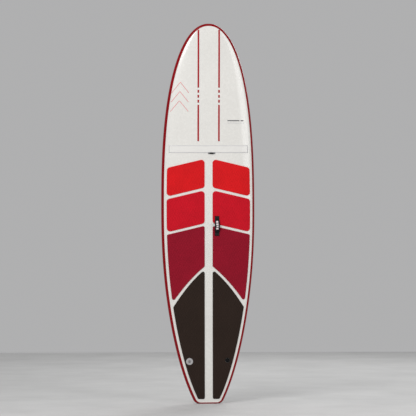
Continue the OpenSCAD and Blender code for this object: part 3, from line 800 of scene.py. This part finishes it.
def make_pad(name, side, chains, corner, material, holes, replaced):
    outline = Outline(chains, corner)

    def depth(p):
        d = outline.depth(p)
        for hx, hz, hr in holes:
            d = np.maximum(d, hr - np.hypot(p[:, 0] - hx, p[:, 1] - hz))
        return d

    rims = [[outline.ring(level) for level, _ in EDGE_STEPS]]
    for hx, hz, hr in holes:
        rims.append([circle(hx, hz, hr - level) for level, _ in EDGE_STEPS])
    outer = outline.ring(EDGE_STEPS[0][0])
    box_x = (outer[:, 0].min(), outer[:, 0].max())
    box_z = (outer[:, 1].min(), outer[:, 1].max())
    # lines of the two slanted families that cover the pad
    root3 = math.sqrt(3)
    ca = [x + z / root3 for x in box_x for z in box_z]
    cb = [-x + z / root3 for x in box_x for z in box_z]
    ia = np.arange(int(min(ca) // PITCH) - 1, int(max(ca) // PITCH) + 2)
    ib = np.arange(int(min(cb) // PITCH) - 1, int(max(cb) // PITCH) + 2)
    la = (ia[:, None] * PITCH + LINES).ravel()
    lb = (ib[:, None] * PITCH + LINES).ravel()
    a, b = np.meshgrid(la, lb, indexing="ij")
    grid = (a[..., None] * E1 + b[..., None] * E2).reshape(-1, 2)
    on_a = np.arange(len(la)) % len(LINES) == 0
    on_b = np.arange(len(lb)) % len(LINES) == 0
    cut = (on_a[:, None] | on_b[None, :]).ravel()
    inside = (depth(grid) < -4.0).reshape(a.shape)
    cell = inside[:-1, :-1] & inside[1:, :-1] & inside[1:, 1:] & inside[:-1, 1:]
    cols = a.shape[1]
    j, i = np.nonzero(cell)
    near, far = j * cols + i, (j + 1) * cols + i
    quads = np.stack([near, far, far + 1, near + 1], -1)
    used, quads = np.unique(quads, return_inverse=True)
    quads = quads.reshape(-1, 4)
    top = [grid[used]]
    seen = {}
    for q in quads.tolist():
        for u, v in zip(q, q[1:] + q[:1]):
            seen[(min(u, v), max(u, v))] = seen.get((min(u, v), max(u, v)), 0) + 1
    loops = [[e for e, n in seen.items() if n == 1]]
    total = len(used)
    starts = []
    for rim in rims:
        starts.append(total)
        loops.append(loop_edges(total, len(rim[0])))
        top.append(rim[0])
        total += len(rim[0])
    flat = np.vstack(top)
    border = np.zeros(len(flat), bool)
    border[np.unique(loops[0])] = True
    border[len(used):] = True
    pick = np.nonzero(border)[0]
    small = {v: n for n, v in enumerate(pick.tolist())}

    def strip(c):
        va = c[:, 0] + c[:, 1] / root3
        vb = -c[:, 0] + c[:, 1] / root3
        ja = np.clip(np.searchsorted(la, va, side="right") - 1, 0, cell.shape[0] - 1)
        jb = np.clip(np.searchsorted(lb, vb, side="right") - 1, 0, cell.shape[1] - 1)
        return ~cell[ja, jb] & (depth(c) < EDGE_STEPS[0][0] + 0.02)

    small_loops = [[(small[u], small[v]) for u, v in loop] for loop in loops]
    tris = triangulate(flat[pick], small_loops, strip)
    faces = quads.tolist() + [[int(pick[v]) for v in t] for t in tris]

    gap = -depth(flat)
    height = PAD_THICK - CROWN * np.clip(1 - gap / 9.0, 0, 1) ** 2
    groove = np.zeros(len(flat))
    groove[: len(used)] = cut[used]
    height -= groove * GROOVE * np.clip((gap - 4.0) / 4.0, 0, 1)
    points = [np.column_stack([flat, height])]
    for rim, start in zip(rims, starts):
        n = len(rim[0])
        above = start
        for k, (level, drop) in enumerate(EDGE_STEPS[1:] + ((0.0, None),)):
            ring = rim[min(k + 1, len(rim) - 1)]
            h = BASE if drop is None else PAD_THICK - 0.2 - drop
            points.append(np.column_stack([ring, np.full(n, h)]))
            for m in range(n):
                faces.append([above + m, above + (m + 1) % n, total + (m + 1) % n, total + m])
            above = total
            total += n
    # flat underside between the lowest rings
    everything = np.vstack(points)
    lowest = []
    base = len(flat)
    for rim in rims:
        n = len(rim[0])
        last = base + (len(EDGE_STEPS) - 1) * n
        lowest.append(np.arange(last, last + n))
        base = last + n
    under = np.concatenate(lowest)
    counts = np.cumsum([0] + [len(v) for v in lowest])
    rounds = [loop_edges(int(c), len(v)) for c, v in zip(counts, lowest)]
    tris = triangulate(everything[under, :2], rounds, lambda c: depth(c) < 0.01)
    faces += [[int(under[v]) for v in t] for t in tris]

    x, h, z = everything[:, 0] * side, everything[:, 2], everything[:, 1]
    piece = build(name, np.stack([x, deck_y(x, z) - 0.15 - h, z], -1), faces, material)
    tidy_mesh(piece, 1e-8)
    sharpen(piece, 48)
    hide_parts(replaced)
    return piece


VENT_X, VENT_Z, LEASH_X, LEASH_Z = 163.0, 357.0, 159.0, 366.0
for n, (shape, corner) in enumerate(SHAPES):
    for side, tag in ((-1, "left"), (1, "right")):
        holes = []
        if n == 3:
            holes = [(VENT_X, VENT_Z, 29.8)] if side < 0 else [(LEASH_X, LEASH_Z, 20.8)]
        node = "pad_%d_%s" % (n + 1, tag)
        make_pad("deck_" + node, side, shape, corner, PADS[n], holes, node)

# ---------------------------------------------------------------- local frames
def deck_frame(x, z):
    """Local Z out of the deck, local Y to the nose."""
    m = Matrix.Rotation(math.pi / 2, 4, "X")
    m.translation = Vector((x, float(deck_y(x, z)), z))
    return m


def keel_frame(x, z, span, cant=0.0):
    """Local Z out of the bottom, local Y to the tail."""
    tilt = math.atan((float(keel_y(0, z + span)) - float(keel_y(0, z - span))) / (2 * span))
    m = Matrix.Rotation(-math.pi / 2 - tilt, 4, "X") @ Matrix.Rotation(cant, 4, "Y")
    m.translation = Vector((x, float(keel_y(abs(x), z)), z))
    return m


def placed(points, frame_matrix):
    p = arr(points)
    shape = p.shape
    m = arr(frame_matrix)
    q = p.reshape(-1, 3) @ m[:3, :3].T + m[:3, 3]
    return q.reshape(shape)


def pierce(piece, openings):
    """Cuts openings straight through a shell. Each is a local frame and its (x, y) outline."""
    points, faces = [], []
    for frame_matrix, outline in openings:
        base, n = len(points), len(outline)
        local = [(x, y, z) for z in (-12.0, 9.0) for x, y in outline]
        points += placed(local, frame_matrix).tolist()
        faces += grid_faces(2, n, base, close_cols=True)
        faces.append(list(range(base, base + n)))
        faces.append(list(range(base + n, base + 2 * n))[::-1])
    cutter = tidy_mesh(build("cutter", points, faces, piece.data.materials[0], body=None))
    cut = piece.modifiers.new("openings", "BOOLEAN")
    cut.operation, cut.solver, cut.object = "DIFFERENCE", "EXACT", cutter
    shape = piece.evaluated_get(bpy.context.evaluated_depsgraph_get())
    plain, piece.data = piece.data, bpy.data.meshes.new_from_object(shape)
    piece.data.name = piece.name
    piece.modifiers.clear()
    bpy.data.objects.remove(cutter)
    bpy.data.meshes.remove(plain)
    return sharpen(piece, 50)


FIN_Z, SIDE_X, SIDE_Z, SIDE_CANT = 317.0, 112.0, 385.0, math.radians(5)


def slot_shape(width, length):
    w, h = width / 2, length / 2
    return [(-w, -h), (w, -h), (w, h), (-w, h)]


VENT = deck_frame(-VENT_X, VENT_Z)
LEASH = deck_frame(LEASH_X, LEASH_Z)
KEEL = keel_frame(0, FIN_Z, 60.0)
SIDE_BOXES = [keel_frame(s * SIDE_X, SIDE_Z, 45.0, s * SIDE_CANT) for s in (-1, 1)]
pierce(deck_shell, [(VENT, circle(0, 0, 29.2)), (LEASH, circle(0, 0, 20.2))])
side_slots = [(m, slot_shape(26.2, 98.2)) for m in SIDE_BOXES]
pierce(bottom_shell, [(KEEL, slot_shape(26.2, 258.2))] + side_slots)

# ---------------------------------------------------------------- carry handle
HANDLE_X, HANDLE_Z, HANDLE_LEN, HANDLE_W, HANDLE_GAP, WEB_T = 71.0, 1499.0, 166.0, 37.0, 20.0, 3.0
REACH = HANDLE_LEN / 2 - 13
ARCH = REACH - 12
PAD_TOP = 0.2 + PAD_THICK
HANDLE = deck_frame(HANDLE_X, HANDLE_Z)


def strap_line(y):
    y = arr(y)
    arch = np.where(np.abs(y) >= ARCH, 0, 0.5 + 0.5 * np.cos(math.pi * np.clip(y / ARCH, -1, 1)))
    return PAD_TOP + 0.8 + HANDLE_GAP * arch**0.6


def strip_rings(ys, width, low, high, profile, ribs=0.0, rib_pitch=2.6):
    """Rings of a flat band that follows the arch. profile is the corner rounding in mm."""
    rings = []
    for y in ys:
        base = float(strap_line(y))
        mid, half = (low + high) / 2, (high - low) / 2
        a = np.linspace(0, 2 * math.pi, 65)[:-1]
        x = np.sign(np.cos(a)) * np.abs(np.cos(a)) ** (2 / profile) * width / 2
        h = np.sign(np.sin(a)) * np.abs(np.sin(a)) ** (2 / profile) * half
        if ribs:
            h = h + np.sign(h) * ribs * (0.5 - 0.5 * np.cos(2 * math.pi * x / rib_pitch))
        rings.append(np.stack([x, np.full_like(x, y), base + mid + h], -1))
    return arr(rings)


ys = np.linspace(-HANDLE_LEN / 2, HANDLE_LEN / 2, 141)
rings = strip_rings(ys, HANDLE_W, 0, WEB_T, 12, 0.12, 2.3)
strap = tube_loft("handle_strap_web", placed(rings, HANDLE), WEB)
sharpen(strap, 60)
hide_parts("handle_strap")

SLEEVE_HALF = 46.0
ys = np.linspace(-SLEEVE_HALF, SLEEVE_HALF, 93)
swell = 1 - 0.22 * np.clip((np.abs(ys) - (SLEEVE_HALF - 4)) / 4, 0, 1) ** 2
rings = []
for y, k in zip(ys, swell):
    ring = strip_rings([y], (HANDLE_W + 5) * (0.97 + 0.03 * k), 1.5 - 3.7 * k, 1.5 + 3.7 * k, 7)[0]
    rings.append(ring)
sleeve = tube_loft("handle_sleeve_cover", placed(rings, HANDLE), SLEEVE)
sharpen(sleeve, 60)
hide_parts("handle_sleeve")


def sleeve_patch(name, x0, x1, y0, y1, rise, material):
    """Thin closed patch on top of the sleeve, in the handle's own frame."""
    gx, gy = np.meshgrid(np.linspace(x0, x1, 9), np.linspace(y0, y1, 25))
    top = strap_line(gy) + WEB_T + 2.2 + rise
    piece = solid_sheet(
        name,
        placed(np.stack([gx, gy, top], -1), HANDLE),
        placed(np.stack([gx, gy, top - 0.5], -1), HANDLE),
        material,
    )


# dark label with four plain marks instead of its print
sleeve_patch("handle_label", -12.5, 12.5, -33, 44, 0.35, LABEL)
for n, (x0, x1, y0, y1) in enumerate(
    ((-9, 9, -30, -17), (-6, 9, -10, 1), (-9, 9, 7, 20), (-9, 7, 27, 41))
):
    sleeve_patch("label_mark_%d" % (n + 1), x0, x1, y0, y1, 0.6, LABEL_MARK)



def stitches(name, path, height, material, length=2.6, pitch=3.6, thick=0.45):
    """Row of small thread bumps along a path of (x, y) points in the handle's frame."""
    path = arr(path)
    seg = np.linalg.norm(np.diff(path, axis=0), axis=1)
    s = np.concatenate([[0], np.cumsum(seg)])
    points, faces = [], []
    for t in np.arange(pitch / 2, s[-1], pitch):
        c = arr([np.interp(t, s, path[:, 0]), np.interp(t, s, path[:, 1])])
        e = arr([np.interp(t + 0.1, s, path[:, 0]), np.interp(t + 0.1, s, path[:, 1])]) - c
        if np.linalg.norm(e) < 1e-6:
            continue
        e /= np.linalg.norm(e)
        n = arr([-e[1], e[0]])
        base = len(points)
        for u in np.linspace(-1, 1, 5):
            r = thick * math.sqrt(max(0.02, 1 - u * u * 0.96))
            for a in np.linspace(0, 2 * math.pi, 7)[:-1]:
                q = c + e * u * length / 2 + n * r * math.cos(a)
                points.append((q[0], q[1], float(height(q[1])) + r * math.sin(a)))
        faces += grid_faces(5, 6, base, close_cols=True)
        faces.append(list(range(base, base + 6)))
        faces.append(list(range(base + 24, base + 30))[::-1])
    piece = build(name, placed(points, HANDLE), faces, material)
    tidy_mesh(piece, 1e-8)
    return piece


for s, tag in ((-1, "low"), (1, "high")):
    y0, y1 = s * (REACH - 11), s * (SLEEVE_HALF + 2)
    box_path = [(-15, y0), (15, y0), (15, y1), (-15, y1), (-15, y0)]
    stitches("handle_stitch_" + tag, box_path, lambda y: strap_line(y) + WEB_T + 0.1, THREAD)
for s, tag in ((-1, "left"), (1, "right")):
    x = s * (HANDLE_W / 2 - 1.2)
    path = [(x, -SLEEVE_HALF + 3), (x, SLEEVE_HALF - 3)]
    stitches("sleeve_stitch_" + tag, path, lambda y: strap_line(y) + WEB_T + 2.15, THREAD)

# ---------------------------------------------------------------- tie-down loop
LOOP_X, LOOP_Z, LOOP_LEN, LOOP_W = 26.0, 2111.0, 59.0, 12.0
LOOP_FLAT = LOOP_LEN / 2 - 14
LOOP = deck_frame(LOOP_X, LOOP_Z)
xs = np.linspace(-LOOP_LEN / 2, LOOP_LEN / 2, 81)
a = np.linspace(0, 2 * math.pi, 41)[:-1]
rings = []
for x in xs:
    u = np.clip(x / LOOP_FLAT, -1, 1)
    base = 1.9 + 6.5 * max(0.0, math.cos(math.pi / 2 * u)) ** 0.6
    w = np.sign(np.cos(a)) * np.abs(np.cos(a)) ** 0.2 * LOOP_W / 2
    h = np.sign(np.sin(a)) * np.abs(np.sin(a)) ** 0.2 * 1.0
    h = h + np.sign(h) * 0.1 * (0.5 - 0.5 * np.cos(2 * math.pi * w / 2.0))
    rings.append(np.stack([np.full_like(w, x), w, base + 1.0 + h], -1))
loop = tube_loft("tie_down_loop", placed(rings, LOOP), WEB)
sharpen(loop, 60)
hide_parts("loop_strap")


# ---------------------------------------------------------------- fins
def lead(h):
    return -85 + 60 * h + 92 * h**3


def trail(h):
    return 70 - 58 * math.sin(math.radians(150 * h)) + 54 * h * h


def foil_x(c, t):
    """Half thickness of the foil at the fraction c of its chord."""
    curve = 1.48 * np.sqrt(c) - 0.63 * c - 1.758 * c**2
    return t * (curve + 1.4215 * c**3 - 0.5075 * c**4 + 0.03 * c)


def fin_rings(depth, root, chord_scale, shift, thick, levels=56, chord=36):
    c = 0.5 - 0.5 * np.cos(np.linspace(0, math.pi, chord))
    rings = []
    for u in np.linspace(0, 1, levels):
        h = 1 - (1 - u) ** 1.35
        y0 = shift + chord_scale * lead(h)
        y1 = shift + chord_scale * max(trail(h), lead(h) + 14)
        tip = 1 - max(0.0, (h - 0.97) / 0.03) ** 2 * 0.5
        mid = (y0 + y1) / 2
        y0, y1 = mid + (y0 - mid) * tip, mid + (y1 - mid) * tip
        t = thick * (1 - 0.62 * h) * (0.4 + 0.6 * tip)
        x = foil_x(c, t)
        y = y0 + (y1 - y0) * c
        z = root + depth * h
        right = np.stack([x, y, np.full_like(x, z)], -1)
        left = np.stack([-x[1:-1], y[1:-1], np.full_like(x[1:-1], z)], -1)[::-1]
        rings.append(np.concatenate([right, left]))
    return arr(rings)


def block_points(x, y0, y1, z0, z1, r):
    """Stack of rounded rectangles for a fin base."""
    rings = []
    a = np.linspace(0, 2 * math.pi, 49)[:-1]
    for z, k in ((z0, r), (z0 + r * 0.3, r * 0.3), (z0 + r, 0), (z1, 0)):
        cx = np.sign(np.cos(a)) * np.abs(np.cos(a)) ** 0.15 * (x - k)
        cy = (y0 + y1) / 2 + np.sign(np.sin(a)) * np.abs(np.sin(a)) ** 0.15 * ((y1 - y0) / 2 - k)
        rings.append(np.stack([cx, cy, np.full_like(cx, z)], -1))
    return arr(rings)


def fin_piece(name, rings, place, body):
    piece = tube_loft(name, placed(rings, place), FIN, body=body)
    sharpen(piece, 40)
    return piece


fin = fin_piece("centre_fin_foil", fin_rings(226.5, 1.5, 1.0, 0.0, 9.0), KEEL, "fin_carriage")
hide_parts("centre_fin")
fin_piece("centre_fin_base", block_points(4.7, -83, 75, -19, 2.5, 1.2), KEEL, "fin_carriage")
fin_piece("centre_fin_tongue", block_points(4.7, -99, -82, -6.4, -2.6, 0.5), KEEL, "fin_carriage")
for place, tag in zip(SIDE_BOXES, ("left", "right")):
    body = tag + "_side_fin"
    foil = fin_piece("side_fin_foil_" + tag, fin_rings(110.2, 1.8, 0.56, 2.0, 7.6), place, body)
    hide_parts("side_fin_" + tag)
    fin_piece("side_fin_base_" + tag, block_points(4.0, -40, 40, -15, 2.4, 1.0), place, body)

# ---------------------------------------------------------------- room
AZIMUTH = -6.0
ROLL = 0.15
EYE_HEIGHT, DISTANCE = 1.65, 20.0
yaw = math.radians(AZIMUTH)

FLOOR_LINES, FLOOR_FRONT, FLOOR_BACK = 15, -16000, 7100
floor_points = [
    (u, v, 0.0)
    for v in np.linspace(FLOOR_FRONT, FLOOR_BACK, FLOOR_LINES)
    for u in np.linspace(FLOOR_FRONT, -FLOOR_FRONT, FLOOR_LINES)
]
paint = Shader("floor_paint", (0.60, 0.60, 0.595), 0.75)
broad = paint.noise(1.6, 5, 0.6)
paint.color(paint.ramp(broad, (0.565, 0.565, 0.56), (0.63, 0.63, 0.625), 0.35, 0.65))
paint.bump(paint.noise(60, 3), 0.1, 1.0)
floor_faces = grid_faces(FLOOR_LINES, FLOOR_LINES, flip=True)
floor = build("floor", floor_points, floor_faces, paint.mat, body=None)
floor.rotation_euler = (0, 0, yaw)
floor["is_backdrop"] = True

world = bpy.data.worlds.new("studio")
world.use_nodes = True
sky = world.node_tree.nodes["Background"]
sky.inputs["Color"].default_value = (0.60, 0.60, 0.605, 1)
sky.inputs["Strength"].default_value = 0.72
bpy.context.scene.world = world


def area_light(name, place, target, size, power):
    data = bpy.data.lights.new(name, "AREA")
    data.shape = "RECTANGLE"
    data.size, data.size_y = size
    data.energy = power
    lamp = bpy.data.objects.new(name, data)
    bpy.context.scene.collection.objects.link(lamp)
    lamp.location = place
    lamp.rotation_euler = (Vector(target) - Vector(place)).to_track_quat("-Z", "Y").to_euler()


area_light("key_light", (-3.4, -5.6, 5.4), (0, 0, 1.7), (3.2, 3.2), 280)
area_light("fill_light", (4.2, -5.0, 3.0), (0, 0, 1.5), (3.6, 3.6), 102)
area_light("back_light", (2.5, 5.0, 4.6), (0, 0, 1.6), (3.0, 3.0), 130)

camera_data = bpy.data.cameras.new("camera")
camera = bpy.data.objects.new("camera", camera_data)
bpy.context.scene.collection.objects.link(camera)
camera.location = (DISTANCE * math.sin(yaw), -DISTANCE * math.cos(yaw), EYE_HEIGHT)
camera.rotation_euler = (math.pi / 2, math.radians(ROLL), yaw)
camera_data.lens = 205.0
camera_data.clip_end = 100
bpy.context.scene.camera = camera
bpy.context.scene.view_settings.view_transform = "Standard"

low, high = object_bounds()
